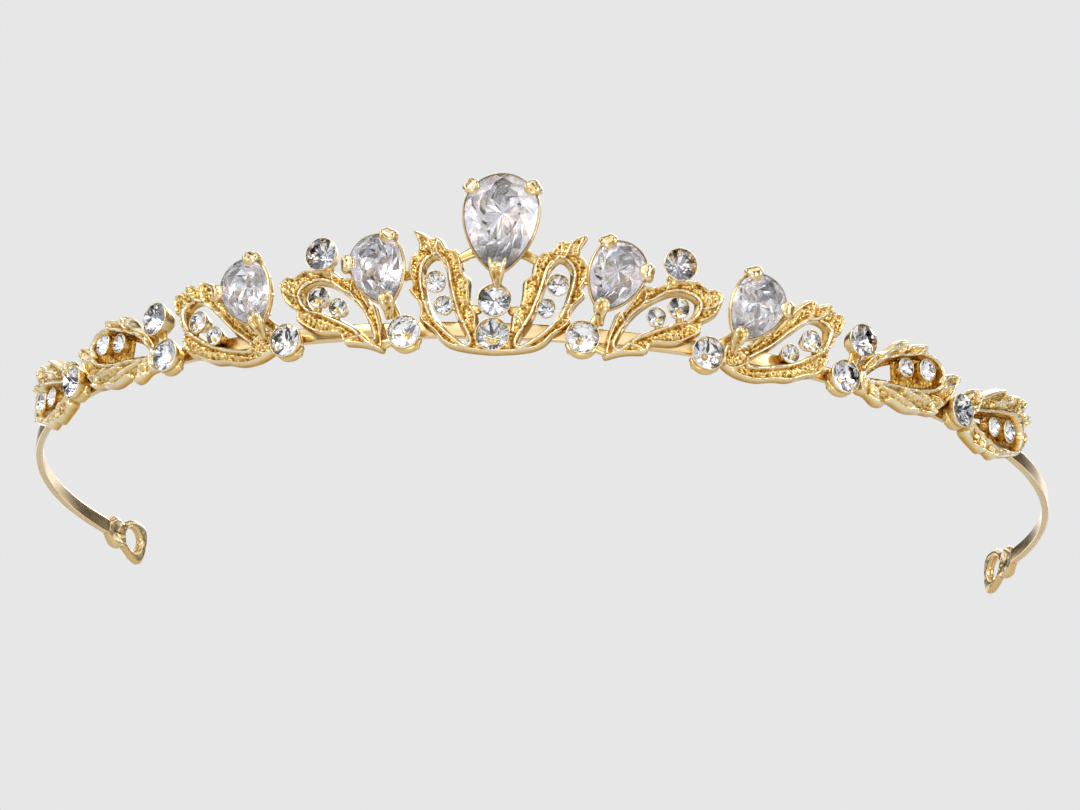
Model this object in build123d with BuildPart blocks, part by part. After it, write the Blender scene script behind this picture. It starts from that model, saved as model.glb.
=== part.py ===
from build123d import *

import os
from math import atan2, cos, degrees, hypot, radians, sin

# Bridal tiara: a flat metal headband with nine leaf castings, claw-set pear stones and round rhinestones.
#
# Millimetres, +Z up, the tiara faces -Y. The origin is the centre of its box, on the surface it rests on.
# The band is one arc about a vertical axis. Each ornament is placed by (s, h, n): s is the distance along the
# band's centre line from the front, h the height over the band's mid-plane, n the distance outward from the
# centre line. The right half (+X) is modelled, and the left half is its mirror image.

# Headband
BAND_R = 71.0  # radius of the band's centre line
BAND_W = 2.2  # height of the strip
BAND_T = 1.0  # thickness of the strip
BAND_EDGE = 0.28  # rounding of the strip's edges
ARM_ANGLE = 113.3  # each arm of the band ends this far round from the front
REST = 3.9  # height of the band's mid-plane over the surface
AXIS_Y = 20.93  # the band's axis stands this far behind the origin

# Castings
SOLDER = 0.02  # thickness of the solder between pieces that are joined
PLATE_BACK = BAND_T / 2 + SOLDER  # they are soldered to the band's outer face
PLATE_FRONT = 2.2
WEB_FRONT = 1.1  # the thin web that closes part of a loop
STRETCH = (BAND_R + (PLATE_BACK + PLATE_FRONT) / 2) / BAND_R  # a plate's length over the centre line's
CUP_WALL = 0.3
CUP_LIP = 0.25  # a cup's wall over the stone's girdle

# Stones
STONE_GAP = 0.02  # between a stone and its cup
ROUND_R = 2.15  # large round stones
LOOP_R = (1.38, 1.2)  # the two stones of a leaf's loop
ROUND_N = 2.9  # girdle of a large round stone
LOOP_N = 2.35  # girdle of a loop stone
PEAR_CENTRE = (10.0, 14.2)  # width and length
PEAR_SIDE = (7.4, 10.4)
GIRDLE = 0.2  # thickness of every girdle
TABLE = 0.56  # width of the table over the stone's width
CULET = 0.1  # width of the culet over the stone's width
PAVILION = 0.4  # depth of a pear's pavilion over its width
PEAR_CROWN = 0.15  # height of a pear's crown over its width

# Pear settings
BASKET_WALL = 0.35
FOOT = 0.8  # size of a basket's foot over its rim
CLAW_R = 0.8
CLAW_OUT = 0.28  # from the stone's edge to a claw's centre line
TIP_CLAW_IN = 0.38  # from the stone's tip back to the tip claw's centre line
CLAW_OVER = 0.55  # a claw's straight part over the girdle

# Large round stones, (s, h). A base stone stands at the inner end of each leaf casting.
CENTRE_STONES = [(0.0, -1.4), (0.0, 3.3)]
BASE_STONES = [(11.4, -1.1), (27.7, -1.3), (47.3, -0.6), (68.4, 0.2)]
UPPER_STONES = {0: (23.4, 10.3), 2: (49.8, 5.0)}
# Loop stones, (s, h), the larger one first: the centre casting's, then those of the leaf castings.
CENTRE_LOOP_STONES = [(7.9, 6.0), (6.6, 2.7)]
LOOP_STONES = [
    [(23.6, 4.5), (20.75, 2.85)],
    [(42.2, 3.3), (39.2, 0.9)],
    [(61.5, 4.0), (57.6, 3.3)],
    [(80.7, 0.9), (76.5, 0.3)],
]
# Pear stones: (s, h) of the round end's centre, lean from upright, girdle n, size, and the claws' angles.
PEARS = [
    ((0.3, 15.4), 0.0, 4.4, PEAR_CENTRE, (35.0, 145.0)),
    ((15.4, 8.5), 20.0, 4.0, PEAR_SIDE, (12.0, 138.0)),
    ((33.9, 6.7), 28.0, 4.0, PEAR_SIDE, (15.0, 140.0)),
]

# Leaf outlines in (s, h): closed chains of spans. Each span is a smooth curve from the end of the last one,
# so the ends of the spans are the leaf's tips and notches.
CENTRE_LEAF = [
    [(0.0, -3.6), (3.2, -3.3), (5.7, -2.7), (7.0, -1.8)],
    [(7.7, -0.7), (8.8, 0.0), (10.0, 1.2)],
    [(9.5, 2.2)],
    [(10.5, 3.9), (11.7, 5.2)],
    [(10.7, 5.8)],
    [(11.5, 6.9), (11.7, 8.7), (11.3, 10.1)],
    [(10.3, 10.4)],
    [(10.6, 11.8), (11.6, 13.5)],
    [(10.2, 13.1), (8.9, 12.1)],
    [(8.0, 12.5), (6.7, 10.5)],
    [(5.7, 10.8), (4.7, 9.1), (4.5, 7.0)],
    [(3.6, 6.9), (3.5, 4.8), (3.3, 3.0)],
    [(2.3, 1.9), (2.1, -0.7), (0.0, -1.7)],
]
LEAVES = [
    [
        [(14.3, -3.5), (16.8, -2.5), (19.9, -2.1)],
        [(20.4, -0.6)],
        [(23.8, -0.3), (25.9, 0.9), (27.0, 1.6)],
        [(26.8, 3.1)],
        [(28.5, 4.1), (29.4, 5.5), (29.9, 7.2)],
        [(28.7, 8.1), (27.4, 7.7)],
        [(26.5, 8.7), (24.7, 8.6), (22.3, 8.4)],
        [(20.6, 7.1), (18.9, 7.3)],
        [(17.7, 5.2), (16.5, 2.9)],
        [(15.9, 3.5)],
        [(14.7, -0.6), (14.3, -3.5)],
    ],
    [
        [(29.9, -2.3), (31.9, -3.3), (34.9, -3.6), (37.2, -3.0)],
        [(39.6, -2.7), (41.7, -1.7)],
        [(43.9, -0.9), (45.3, 1.2)],
        [(45.0, 2.5)],
        [(46.3, 4.2)],
        [(45.4, 5.2)],
        [(46.9, 5.1)],
        [(47.6, 7.3)],
        [(47.2, 8.1), (45.8, 8.1)],
        [(45.1, 9.3), (42.9, 8.2)],
        [(42.7, 9.3), (40.8, 8.3), (38.8, 6.2), (36.7, 3.4)],
        [(34.9, 2.7), (33.4, 1.0), (30.2, 0.7)],
    ],
    [
        [(50.0, -1.9), (51.6, -1.9), (53.2, -2.9), (54.9, -2.7)],
        [(55.3, -1.9), (58.3, -2.5), (60.4, -2.2)],
        [(61.4, -1.9), (64.1, -1.5), (65.1, -0.1)],
        [(66.5, 0.7), (67.8, 3.2), (68.7, 5.0)],
        [(67.3, 5.2), (65.3, 3.9)],
        [(64.5, 5.5), (63.0, 6.3), (61.6, 6.5)],
        [(61.5, 7.6), (60.0, 7.3), (58.2, 6.5)],
        [(58.1, 7.4), (56.3, 6.5), (54.3, 4.7), (52.2, 4.1)],
        [(50.6, 1.9), (50.0, -1.9)],
    ],
    [
        [(70.2, -2.4), (72.4, -3.2), (74.6, -3.9)],
        [(75.9, -3.2)],
        [(77.5, -3.8), (79.6, -2.9)],
        [(82.4, -2.0), (85.7, -0.7), (88.1, 1.7)],
        [(88.0, 2.7), (86.6, 3.2)],
        [(88.1, 4.5), (87.4, 5.4), (85.7, 5.6)],
        [(86.1, 7.0), (83.8, 7.0), (81.5, 6.4)],
        [(79.8, 6.7), (76.9, 5.6), (73.5, 3.6)],
        [(73.4, 4.8), (71.7, 3.9), (70.4, 1.9)],
    ],
]
CENTRE_LOOP = [
    [
        (3.4, -2.2), (5.2, 1.7), (6.4, 5.8), (7.0, 8.3), (8.1, 9.4),
        (9.3, 8.3), (9.2, 5.5), (7.7, 1.5), (3.4, -2.2),
    ],
]
LOOPS = [
    [
        [
            (16.0, -1.6), (17.6, 2.1), (20.4, 4.9), (23.8, 6.5), (26.0, 5.7),
            (25.5, 3.9), (22.0, 2.2), (18.4, 0.3), (16.0, -1.6),
        ],
    ],
    [
        [
            (33.8, -1.3), (36.8, 1.1), (39.8, 3.9), (42.7, 6.1), (44.6, 5.5),
            (44.1, 3.2), (41.3, 1.0), (37.6, -0.6), (33.8, -1.3),
        ],
    ],
    [
        [
            (51.5, 0.6), (54.1, 3.1), (57.7, 4.6), (61.4, 5.6), (64.1, 5.1),
            (64.2, 2.9), (60.4, 1.4), (55.7, 1.0), (51.5, 0.6),
        ],
    ],
    [
        [
            (72.1, 0.5), (75.8, 1.8), (79.6, 2.8), (83.4, 3.3), (85.3, 1.9),
            (84.0, -0.3), (79.8, -1.3), (75.4, -1.2), (72.1, 0.5),
        ],
    ],
]
# The outer two loops are closed by a thin web, except for these openings at their inner ends.
WEB_OPENINGS = {
    2: [
        [(51.8, 0.8), (54.1, 2.7), (56.3, 3.7)],
        [(56.6, 1.4)],
        [(54.1, 1.1), (51.8, 0.8)],
    ],
    3: [
        [(72.5, 0.4), (74.4, 1.1), (75.8, 1.4)],
        [(76.0, -0.8)],
        [(74.0, -0.6), (72.5, 0.4)],
    ],
}

# Bars of the castings: the two ends (s, h) and the width. Most reach under a pear setting and carry it.
CENTRE_BARS = [
    ((1.6, 2.4), (3.4, 2.2), 1.3),
    ((5.4, 9.2), (2.4, 10.8), 1.3),
    ((6.3, 2.7), (4.6, 2.9), 1.2),
    ((10.6, 7.1), (12.6, 7.1), 1.2),
]
STEM = ((0.0, 4.6), (0.0, 9.0), 1.4)
BARS = [
    [
        ((12.3, -1.6), (15.0, -2.5), 1.5),
        ((12.5, 0.6), (14.5, 4.6), 1.4),
        ((19.4, 6.1), (17.4, 8.2), 1.4),
        ((23.8, 4.6), (24.1, 2.5), 1.2),
        ((21.0, 3.0), (21.4, 1.2), 1.2),
    ],
    [
        ((28.9, -1.7), (30.9, -1.4), 1.8),
        ((29.5, 0.4), (32.9, 3.2), 1.4),
        ((39.2, 5.8), (36.4, 6.8), 1.4),
        ((42.7, 3.4), (43.5, 1.8), 1.2),
        ((39.6, 1.1), (39.9, -0.2), 1.2),
    ],
    [
        ((49.0, -1.0), (51.0, -0.9), 1.6),
        ((50.0, 4.1), (49.0, 1.0), 1.9),
        ((51.8, 4.2), (53.4, 3.6), 1.0),
    ],
    [
        ((70.6, -1.0), (72.5, -2.4), 1.6),
        ((70.6, 1.2), (72.3, 2.6), 1.6),
    ],
]
LUG_ENDS = ((0.0, 0.0), (-1.8, -2.0))  # a small lug below each base cup, from the cup's centre
LUG_WIDTH = 0.9

# End loops, in the plane tangent to the band where the strip ends
EYE_HOLE_R = 1.5
EYE_AHEAD = 4.3  # from the strip's end to the centre of the hole
EYE_HALF = (3.2, 2.85)  # half length and half height
EYE_BACK = -0.5  # the inner face, level with the strip's, so that nothing stands in towards the head
EYE_T = 1.2
LOBE_AT = (0.0, 1.45)
LOBE_HALF = (2.1, 0.85)
LOBE_T = 1.5
NECK = (2.6, 3.0)  # the web between the lobes and the eye: length and height


def station(s, h=0.0, n=0.0, turn=0.0):
    """The plane tangent to the band at s: x along the band, y up, z outward, then turned about z."""
    angle = s / BAND_R
    out = Vector(sin(angle), -cos(angle), 0)
    along = Vector(cos(angle), sin(angle), 0)
    x_dir = along * cos(radians(turn)) + Vector(0, 0, 1) * sin(radians(turn))
    return Plane(Vector(0, AXIS_Y, REST + h) + out * (BAND_R + n), x_dir=x_dir, z_dir=out)


def flat(point, middle):
    """A point (s, h) as a point of the tangent plane at s = middle."""
    return ((point[0] - middle) * STRETCH, point[1])


def draw_outline(spans, middle):
    """Lines for a closed chain of spans."""
    start = flat(spans[0][0], middle)
    here = start
    for span in spans:
        points = [flat(point, middle) for point in span]
        if points[0] != here:
            points.insert(0, here)
        if len(points) > 2:
            Spline(*points)
        else:
            Line(*points)
        here = points[-1]
    if here != start:
        Line(here, start)


def ring(n_in, n_out):
    """A ring about the band's axis, taller than any casting."""
    with BuildPart() as body:
        with BuildSketch(Plane((0, AXIS_Y, REST - 12))):
            Circle(BAND_R + n_out)
            Circle(BAND_R + n_in, mode=Mode.SUBTRACT)
        extrude(amount=42)
    return body.part


PLATE_RING = ring(PLATE_BACK, PLATE_FRONT)
CUP_RING = ring(PLATE_BACK, 20)
RECESS_RING = ring(WEB_FRONT, 20)
BASKET_RING = ring(PLATE_FRONT + SOLDER, 20)


def slab(spans, within):
    """An outline cut out of a ring, so that it follows the band."""
    middle = spans[0][len(spans[0]) // 2][0]
    with BuildPart() as body:
        with BuildSketch(station(middle)):
            with BuildLine():
                draw_outline(spans, middle)
            make_face()
        extrude(amount=6, both=True)
        add(within, mode=Mode.INTERSECT)
    return body.part


def bar(ends, within):
    """A bar with round ends, as thick as the ring it is cut out of."""
    (s0, h0), (s1, h1), width = ends
    middle = (s0 + s1) / 2
    (x0, y0), (x1, y1) = flat((s0, h0), middle), flat((s1, h1), middle)
    with BuildPart() as body:
        with BuildSketch(station(middle, h=(h0 + h1) / 2)):
            SlotCenterToCenter(hypot(x1 - x0, y1 - y0), width, rotation=degrees(atan2(y1 - y0, x1 - x0)))
        extrude(amount=6, both=True)
        add(within, mode=Mode.INTERSECT)
    return body.part


def cup(s, h, radius, girdle):
    """A round cup that stands on the band or on a plate."""
    with BuildPart() as body:
        with BuildSketch(station(s, h)):
            Circle(radius + CUP_WALL)
        extrude(amount=girdle + CUP_LIP)
        add(CUP_RING, mode=Mode.INTERSECT)
    return body.part


def round_stone(s, h, radius, girdle):
    """A brilliant's cone, girdle, crown and flat table."""
    with BuildPart(station(s, h, girdle)) as stone:
        with Locations((0, 0, -0.72 * radius)):
            Cone(CULET * radius, radius, 0.72 * radius, align=(Align.CENTER, Align.CENTER, Align.MIN))
        Cylinder(radius, GIRDLE, align=(Align.CENTER, Align.CENTER, Align.MIN))
        with Locations((0, 0, GIRDLE)):
            Cone(radius, TABLE * radius, 0.32 * radius, align=(Align.CENTER, Align.CENTER, Align.MIN))
    return stone.part


def round_seat(s, h, radius, girdle):
    """The room a round stone takes in its cup, open to the front."""
    wide = radius + STONE_GAP
    with BuildPart(station(s, h, girdle)) as room:
        with Locations((0, 0, -0.72 * wide - STONE_GAP)):
            Cone(CULET * wide, wide, 0.72 * wide, align=(Align.CENTER, Align.CENTER, Align.MIN))
        with Locations((0, 0, -2 * STONE_GAP)):
            Cylinder(wide, 3.0, align=(Align.CENTER, Align.CENTER, Align.MIN))
    return room.part


def pear_lines(width, length, grow=0.0):
    """A pear: a half circle about the sketch's origin, and two arcs from it to the tip."""
    half = width / 2 + grow
    tip = length - width / 2 + 1.3 * grow
    CenterArc((0, 0), half, 0, 180)
    TangentArc((half, 0), (0, -tip), tangent=(0, -1))
    TangentArc((-half, 0), (0, -tip), tangent=(0, -1))


def pear_loft(where, lean, levels, size):
    """A stack of pears along the normal, joined by straight walls. A level is (n, scale, grow)."""
    (s, h), (width, length) = where, size
    with BuildPart() as body:
        for n, scale, grow in levels:
            with BuildSketch(station(s, h, n, turn=-lean)):
                with BuildLine():
                    pear_lines(width * scale, length * scale, grow)
                make_face()
        loft(ruled=True)
    return body.part


def pear_stone(where, lean, girdle, size, grow=0.0):
    """A pear brilliant: pavilion, girdle and crown. grow makes it larger all round, as the room it needs."""
    width = size[0]
    low, high = girdle - grow, girdle + GIRDLE + grow
    pavilion = pear_loft(where, lean, [(low - PAVILION * width, CULET, grow), (low, 1, grow)], size)
    middle = pear_loft(where, lean, [(low, 1, grow), (high, 1, grow)], size)
    crown = pear_loft(where, lean, [(high, 1, grow), (high + PEAR_CROWN * width, TABLE, grow)], size)
    with BuildPart() as stone:
        add(pavilion)
        add(middle)
        add(crown)
    return stone.part


def pear_setting(where, lean, girdle, size, claws):
    """A basket round the pavilion, with two claws at the round end and one at the tip."""
    (s, h), (width, length) = where, size
    foot = PLATE_FRONT - 1.0
    wall = pear_loft(where, lean, [(foot, FOOT, BASKET_WALL), (girdle, 1, BASKET_WALL)], size)
    room = pear_stone(where, lean, girdle, size, grow=STONE_GAP)
    plane = station(s, h, foot, turn=-lean)
    reach = width / 2 + CLAW_OUT
    spots = [(reach * cos(radians(angle)), reach * sin(radians(angle))) for angle in claws]
    spots.append((0, width / 2 - length + TIP_CLAW_IN))
    tall = girdle + GIRDLE + CLAW_OVER - foot
    with BuildPart() as setting:
        add(wall)
        for x, y in spots:
            with Locations(plane.location * Location((x, y, 0))):
                Cylinder(CLAW_R, tall, align=(Align.CENTER, Align.CENTER, Align.MIN))
            with Locations(plane.location * Location((x, y, tall))):
                Sphere(CLAW_R)
        add(room, mode=Mode.SUBTRACT)
        add(BASKET_RING, mode=Mode.INTERSECT)
    return setting.part


def loop_metal(stones):
    """The cups of a leaf's two loop stones."""
    return [cup(*at, radius, LOOP_N) for at, radius in zip(stones, LOOP_R)]


def loop_rooms(stones):
    """The seats of a leaf's two loop stones."""
    return [round_seat(*at, radius, LOOP_N) for at, radius in zip(stones, LOOP_R)]


def next_cup(at):
    """The room kept clear for the base cup of the casting that stands beside."""
    return cup(*at, ROUND_R + SOLDER, ROUND_N)


def centre_casting():
    """Two leaves that spread from one foot, the two central cups and the arms that carry the centre pear."""
    plate = slab(CENTRE_LEAF, PLATE_RING)
    loop = slab(CENTRE_LOOP, CUP_RING)
    bars = [bar(ends, PLATE_RING) for ends in CENTRE_BARS]
    middle = [cup(*at, ROUND_R, ROUND_N) for at in CENTRE_STONES] + [bar(STEM, PLATE_RING)]
    seats = [round_seat(*at, ROUND_R, ROUND_N) for at in CENTRE_STONES]
    side_rooms = loop_rooms(CENTRE_LOOP_STONES) + [next_cup(BASE_STONES[0])]
    pear_room = pear_stone(*PEARS[0][:4], grow=STONE_GAP)
    with BuildPart() as half:
        add(plate)
        add(loop, mode=Mode.SUBTRACT)
        for piece in bars + loop_metal(CENTRE_LOOP_STONES):
            add(piece)
        for room in side_rooms:
            add(room, mode=Mode.SUBTRACT)
        mirror(about=Plane.YZ)
        for piece in middle:
            add(piece)
        for room in seats + [pear_room]:
            add(room, mode=Mode.SUBTRACT)
    return half.part


def leaf_casting(index):
    """A base cup, the leaf that grows outward from it, and the upper cup that some leaves carry."""
    base = BASE_STONES[index]
    rounds = [base] + ([UPPER_STONES[index]] if index in UPPER_STONES else [])
    plate = slab(LEAVES[index], PLATE_RING)
    webbed = index in WEB_OPENINGS
    loop = slab(LOOPS[index], RECESS_RING if webbed else CUP_RING)
    opening = [slab(WEB_OPENINGS[index], CUP_RING)] if webbed else []
    lug = tuple((base[0] + x, base[1] + y) for x, y in LUG_ENDS)
    metal = [bar(ends, PLATE_RING) for ends in BARS[index] + [(*lug, LUG_WIDTH)]]
    metal += [cup(*at, ROUND_R, ROUND_N) for at in rounds] + loop_metal(LOOP_STONES[index])
    rooms = [round_seat(*at, ROUND_R, ROUND_N) for at in rounds] + loop_rooms(LOOP_STONES[index])
    if index + 1 < len(PEARS):
        rooms.append(pear_stone(*PEARS[index + 1][:4], grow=STONE_GAP))
    if index + 1 < len(BASE_STONES):
        rooms.append(next_cup(BASE_STONES[index + 1]))
    with BuildPart() as casting:
        add(plate)
        for room in [loop] + opening:
            add(room, mode=Mode.SUBTRACT)
        for piece in metal:
            add(piece)
        for room in rooms:
            add(room, mode=Mode.SUBTRACT)
    return casting.part


def band():
    """The headband: a flat strip, bent on edge into an open arc."""
    with BuildPart() as strip:
        with BuildSketch(Plane(Vector(0, AXIS_Y - BAND_R, REST), x_dir=(0, 1, 0), z_dir=(1, 0, 0))):
            RectangleRounded(BAND_T, BAND_W, BAND_EDGE)
        revolve(axis=Axis((0, AXIS_Y, REST), (0, 0, 1)), revolution_arc=ARM_ANGLE)
        mirror(about=Plane.YZ)
    return strip.part


def end_loop():
    """A pierced eye with two lobes that clasp the end of the strip above and below."""
    lobe_x, lobe_y = LOBE_AT
    plane = station(radians(ARM_ANGLE) * BAND_R, n=EYE_BACK)
    with BuildPart() as loop:
        with BuildSketch(plane):
            with Locations((EYE_AHEAD, 0)):
                Ellipse(*EYE_HALF)
            with Locations((NECK[0] / 2, 0)):
                Rectangle(*NECK)
            with Locations((EYE_AHEAD, 0)):
                Circle(EYE_HOLE_R, mode=Mode.SUBTRACT)
        extrude(amount=EYE_T)
        with BuildSketch(plane):
            with Locations((lobe_x, lobe_y), (lobe_x, -lobe_y)):
                Ellipse(*LOBE_HALF)
            with Locations((-LOBE_HALF[0], 0)):
                Rectangle(2 * LOBE_HALF[0], BAND_W + 2 * SOLDER, mode=Mode.SUBTRACT)
        extrude(amount=LOBE_T)
    return loop.part


def save(piece, name):
    """Label a piece and write it."""
    piece.label = name
    export_step(piece, f"parts/{name}.step")


def save_pair(piece, name):
    """Write a right-hand piece and its mirror image."""
    save(mirror(piece, about=Plane.YZ, mode=Mode.PRIVATE), name.replace("SIDE", "left"))
    save(piece, name.replace("SIDE", "right"))


os.makedirs("parts", exist_ok=True)
save(band(), "headband")
save_pair(end_loop(), "end_loop_SIDE")
save(centre_casting(), "casting_centre")
for index in range(len(LEAVES)):
    save_pair(leaf_casting(index), f"casting_SIDE_{index + 1}")
save(pear_setting(*PEARS[0]), "pear_setting_centre")
save(pear_stone(*PEARS[0][:4]), "pear_stone_centre")
for number, pear in enumerate(PEARS[1:], start=1):
    save_pair(pear_setting(*pear), f"pear_setting_SIDE_{number}")
    save_pair(pear_stone(*pear[:4]), f"pear_stone_SIDE_{number}")
save(round_stone(*CENTRE_STONES[0], ROUND_R, ROUND_N), "base_stone_centre")
save(round_stone(*CENTRE_STONES[1], ROUND_R, ROUND_N), "upper_stone_centre")
for number, at in enumerate(BASE_STONES, start=1):
    save_pair(round_stone(*at, ROUND_R, ROUND_N), f"base_stone_SIDE_{number}")
for index, at in UPPER_STONES.items():
    save_pair(round_stone(*at, ROUND_R, ROUND_N), f"upper_stone_SIDE_{index + 1}")
for number, stones in enumerate([CENTRE_LOOP_STONES] + LOOP_STONES):
    for at, radius, word in zip(stones, LOOP_R, ("large", "small")):
        save_pair(round_stone(*at, radius, LOOP_N), f"loop_stone_SIDE_{number}_{word}")
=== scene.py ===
import math
import random

import bpy
import numpy as np
from mathutils import Matrix, Vector, kdtree, noise
from mathutils.geometry import delaunay_2d_cdt

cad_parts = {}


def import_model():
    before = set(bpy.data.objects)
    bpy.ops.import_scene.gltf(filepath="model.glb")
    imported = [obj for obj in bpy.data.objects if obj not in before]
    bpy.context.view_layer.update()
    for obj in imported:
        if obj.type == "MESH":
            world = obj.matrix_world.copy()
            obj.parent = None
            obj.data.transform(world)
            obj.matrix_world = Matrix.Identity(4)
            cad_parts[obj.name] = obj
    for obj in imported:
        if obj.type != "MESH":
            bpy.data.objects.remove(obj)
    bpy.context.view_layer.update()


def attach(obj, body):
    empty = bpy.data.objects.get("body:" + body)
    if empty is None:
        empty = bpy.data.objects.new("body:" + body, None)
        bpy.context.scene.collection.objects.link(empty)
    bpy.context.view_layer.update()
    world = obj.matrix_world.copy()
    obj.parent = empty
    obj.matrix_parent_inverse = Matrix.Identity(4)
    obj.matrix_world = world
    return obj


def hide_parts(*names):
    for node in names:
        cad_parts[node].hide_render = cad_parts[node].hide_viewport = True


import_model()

# A bridal tiara in pale gold: relief castings, faceted stones, claw baskets and a slim band.
# Every ornament is placed by (s, h, n) in millimetres: along the band's centre line from the front, up from
# the band's mid-plane, and outward from the centre line. The right half is built; the left half mirrors it.
MM = 0.001
BAND_R = 71.0  # radius of the band's centre line
BAND_W = 2.2
BAND_T = 1.0
ARM_ANGLE = math.radians(113.3)  # how far each arm runs round from the front
REST = 3.9  # height of the band's mid-plane
AXIS_Y = 20.93
PLATE_BACK = 0.53  # n of a casting's back

ROUND_R = 2.15
LOOP_R = (1.38, 1.2)
ROUND_N = 2.9  # n of a round stone's girdle
LOOP_N = 2.35
GIRDLE = 0.2
CENTRE_STONES = [(0.0, -1.4), (0.0, 3.3)]
BASE_STONES = [(11.4, -1.1), (27.7, -1.3), (47.3, -0.6), (68.4, 0.2)]
UPPER_STONES = {0: (23.4, 10.3), 2: (49.8, 5.0)}
CENTRE_LOOP_STONES = [(7.9, 6.0), (6.6, 2.7)]
LOOP_STONES = [
    [(23.6, 4.5), (20.75, 2.85)],
    [(42.2, 3.3), (39.2, 0.9)],
    [(61.5, 4.0), (57.6, 3.3)],
    [(80.7, 0.9), (76.5, 0.3)],
]
PEAR_CENTRE = (10.0, 14.2)
PEAR_SIDE = (7.4, 10.4)
# Pear stones: (s, h), lean in degrees, n of the girdle, width and length, and the angles of the upper claws.
PEARS = [
    ((0.3, 15.4), 0.0, 4.4, PEAR_CENTRE, (35.0, 145.0)),
    ((15.4, 8.5), 20.0, 4.0, PEAR_SIDE, (12.0, 138.0)),
    ((33.9, 6.7), 28.0, 4.0, PEAR_SIDE, (15.0, 140.0)),
]

# Leaf outlines in (s, h): closed chains of spans. Each span is a smooth curve from the end of the last one,
# so the ends of the spans are the leaf's tips and notches.
CENTRE_LEAF = [
    [(0.0, -3.6), (3.2, -3.3), (5.7, -2.7), (7.0, -1.8)],
    [(7.7, -0.7), (8.8, 0.0), (10.0, 1.2)],
    [(9.5, 2.2)],
    [(10.5, 3.9), (11.7, 5.2)],
    [(10.7, 5.8)],
    [(11.5, 6.9), (11.7, 8.7), (11.3, 10.1)],
    [(10.3, 10.4)],
    [(10.6, 11.8), (11.6, 13.5)],
    [(10.2, 13.1), (8.9, 12.1)],
    [(8.0, 12.5), (6.7, 10.5)],
    [(5.7, 10.8), (4.7, 9.1), (4.5, 7.0)],
    [(3.6, 6.9), (3.5, 4.8), (3.3, 3.0)],
    [(2.3, 1.9), (2.1, -0.7), (0.0, -1.7)],
]
LEAVES = [
    [
        [(14.3, -3.5), (16.8, -2.5), (19.9, -2.1)],
        [(20.4, -0.6)],
        [(23.8, -0.3), (25.9, 0.9), (27.0, 1.6)],
        [(26.8, 3.1)],
        [(28.5, 4.1), (29.4, 5.5), (29.9, 7.2)],
        [(28.7, 8.1), (27.4, 7.7)],
        [(26.5, 8.7), (24.7, 8.6), (22.3, 8.4)],
        [(20.6, 7.1), (18.9, 7.3)],
        [(17.7, 5.2), (16.5, 2.9)],
        [(15.9, 3.5)],
        [(14.7, -0.6), (14.3, -3.5)],
    ],
    [
        [(29.9, -2.3), (31.9, -3.3), (34.9, -3.6), (37.2, -3.0)],
        [(39.6, -2.7), (41.7, -1.7)],
        [(43.9, -0.9), (45.3, 1.2)],
        [(45.0, 2.5)],
        [(46.3, 4.2)],
        [(45.4, 5.2)],
        [(46.9, 5.1)],
        [(47.6, 7.3)],
        [(47.2, 8.1), (45.8, 8.1)],
        [(45.1, 9.3), (42.9, 8.2)],
        [(42.7, 9.3), (40.8, 8.3), (38.8, 6.2), (36.7, 3.4)],
        [(34.9, 2.7), (33.4, 1.0), (30.2, 0.7)],
    ],
    [
        [(50.0, -1.9), (51.6, -1.9), (53.2, -2.9), (54.9, -2.7)],
        [(55.3, -1.9), (58.3, -2.5), (60.4, -2.2)],
        [(61.4, -1.9), (64.1, -1.5), (65.1, -0.1)],
        [(66.5, 0.7), (67.8, 3.2), (68.7, 5.0)],
        [(67.3, 5.2), (65.3, 3.9)],
        [(64.5, 5.5), (63.0, 6.3), (61.6, 6.5)],
        [(61.5, 7.6), (60.0, 7.3), (58.2, 6.5)],
        [(58.1, 7.4), (56.3, 6.5), (54.3, 4.7), (52.2, 4.1)],
        [(50.6, 1.9), (50.0, -1.9)],
    ],
    [
        [(70.2, -2.4), (72.4, -3.2), (74.6, -3.9)],
        [(75.9, -3.2)],
        [(77.5, -3.8), (79.6, -2.9)],
        [(82.4, -2.0), (85.7, -0.7), (88.1, 1.7)],
        [(88.0, 2.7), (86.6, 3.2)],
        [(88.1, 4.5), (87.4, 5.4), (85.7, 5.6)],
        [(86.1, 7.0), (83.8, 7.0), (81.5, 6.4)],
        [(79.8, 6.7), (76.9, 5.6), (73.5, 3.6)],
        [(73.4, 4.8), (71.7, 3.9), (70.4, 1.9)],
    ],
]
# The loops' inner edges: closed smooth lines.
CENTRE_LOOP = [
    (3.4, -2.2), (5.2, 1.7), (6.4, 5.8), (7.0, 8.3), (8.1, 9.4),
    (9.3, 8.3), (9.2, 5.5), (7.7, 1.5), (3.4, -2.2),
]
LOOPS = [
    [
        (16.0, -1.6), (17.6, 2.1), (20.4, 4.9), (23.8, 6.5), (26.0, 5.7),
        (25.5, 3.9), (22.0, 2.2), (18.4, 0.3), (16.0, -1.6),
    ],
    [
        (33.8, -1.3), (36.8, 1.1), (39.8, 3.9), (42.7, 6.1), (44.6, 5.5),
        (44.1, 3.2), (41.3, 1.0), (37.6, -0.6), (33.8, -1.3),
    ],
    [
        (51.5, 0.6), (54.1, 3.1), (57.7, 4.6), (61.4, 5.6), (64.1, 5.1),
        (64.2, 2.9), (60.4, 1.4), (55.7, 1.0), (51.5, 0.6),
    ],
    [
        (72.1, 0.5), (75.8, 1.8), (79.6, 2.8), (83.4, 3.3), (85.3, 1.9),
        (84.0, -0.3), (79.8, -1.3), (75.4, -1.2), (72.1, 0.5),
    ],
]
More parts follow.
